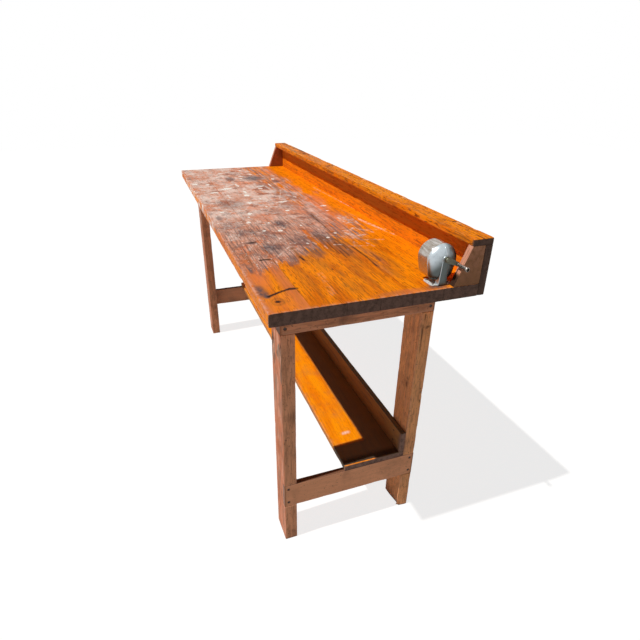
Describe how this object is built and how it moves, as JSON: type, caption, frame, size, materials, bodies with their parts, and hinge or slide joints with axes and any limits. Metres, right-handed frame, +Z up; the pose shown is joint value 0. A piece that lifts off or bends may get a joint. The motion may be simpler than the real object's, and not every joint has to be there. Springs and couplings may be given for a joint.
{
  "type": "carpenters workbench",
  "caption": "Wooden carpenter's workbench with a planked top, back shelf, braced legs, low tool shelf and a screwed-on crank pencil sharpener with a geared cutter head.",
  "frame": {"origin": "on the floor, under the middle of the whole object's box", "axes": "+X along the bench towards the end with the sharpener, +Y towards the back shelf, +Z up"},
  "size_m": [1.8576, 0.587, 1.0364],
  "materials": {
    "top_wood": "worn orange varnish",
    "back_wood": "worn orange varnish",
    "frame_wood": "old brown varnish",
    "shelf_wood": "dusty brown",
    "fixings": "dark and rusted",
    "plated_casting": "nickel plate",
    "plated_cup": "nickel plate",
    "cutter_steel": "machined",
    "dark_steel": "dark",
    "handle_metal": "worn satin",
    "dial_steel": "satin"
  },
  "bodies": {
    "bench": {"top_plank_1": "top_wood", "top_plank_2": "top_wood", "top_plank_3": "top_wood", "top_plank_4": "top_wood", "top_plank_5": "top_wood", "top_plank_6": "top_wood", "back_board": "back_wood", "shelf_cap": "back_wood", "cheek_left": "back_wood", "cheek_right": "back_wood", "leg_front_left": "frame_wood", "leg_front_right": "frame_wood", "leg_rear_left": "frame_wood", "leg_rear_right": "frame_wood", "upper_rail_left": "frame_wood", "upper_rail_right": "frame_wood", "lower_rail_left": "frame_wood", "lower_rail_right": "frame_wood", "tool_shelf": "shelf_wood", "shelf_upright": "shelf_wood", "upper_rail_screws": "fixings", "lower_rail_screws": "fixings", "top_screws": "fixings", "cap_nails": "fixings", "back_board_nails": "fixings", "cheek_nails": "fixings", "shelf_nails": "fixings", "upright_nails": "fixings", "foot_screws": "fixings", "sharpener_frame": "plated_casting", "ring_gear": "cutter_steel"},
    "crank": {"crank_arm": "dark_steel", "crank_nut": "dark_steel", "cutter_carrier": "cutter_steel", "cutter_pins": "cutter_steel", "handle_pin": "dark_steel"},
    "handle": {"crank_handle": "handle_metal"},
    "upper_cutter": {"upper_cutter": "cutter_steel"},
    "lower_cutter": {"lower_cutter": "cutter_steel"},
    "cup": {"chip_cup": "plated_cup", "dial_rivet": "plated_cup"},
    "dial": {"pencil_dial": "dial_steel"}
  },
  "joints": [
    {"name": "crank_turn", "type": "hinge", "parent": "bench", "child": "crank", "pos_m": [0.885, 0.1715, 0.9864], "axis": [1, 0, 0], "continuous": true},
    {"name": "handle_spin", "type": "hinge", "parent": "crank", "child": "handle", "pos_m": [0.905, 0.20597, 0.97032], "axis": [1, 0, 0], "continuous": true},
    {"name": "upper_cutter_spin", "type": "hinge", "parent": "crank", "child": "upper_cutter", "pos_m": [0.90903, 0.1715, 0.9864], "axis": [0.9863, 0, -0.165], "continuous": true},
    {"name": "lower_cutter_spin", "type": "hinge", "parent": "crank", "child": "lower_cutter", "pos_m": [0.90903, 0.1715, 0.9864], "axis": [0.9863, 0, 0.165], "continuous": true},
    {"name": "cup_slide", "type": "slide", "parent": "bench", "child": "cup", "axis": [-1, 0, 0], "range_m": [0, 0.06]},
    {"name": "dial_turn", "type": "hinge", "parent": "cup", "child": "dial", "pos_m": [0.8139, 0.1715, 0.9754], "axis": [1, 0, 0], "continuous": true}
  ],
  "couplings": [
    {"joint": "upper_cutter_spin", "follows": "crank_turn", "ratio": -2.2857},
    {"joint": "lower_cutter_spin", "follows": "crank_turn", "ratio": -2.2857}
  ]
}
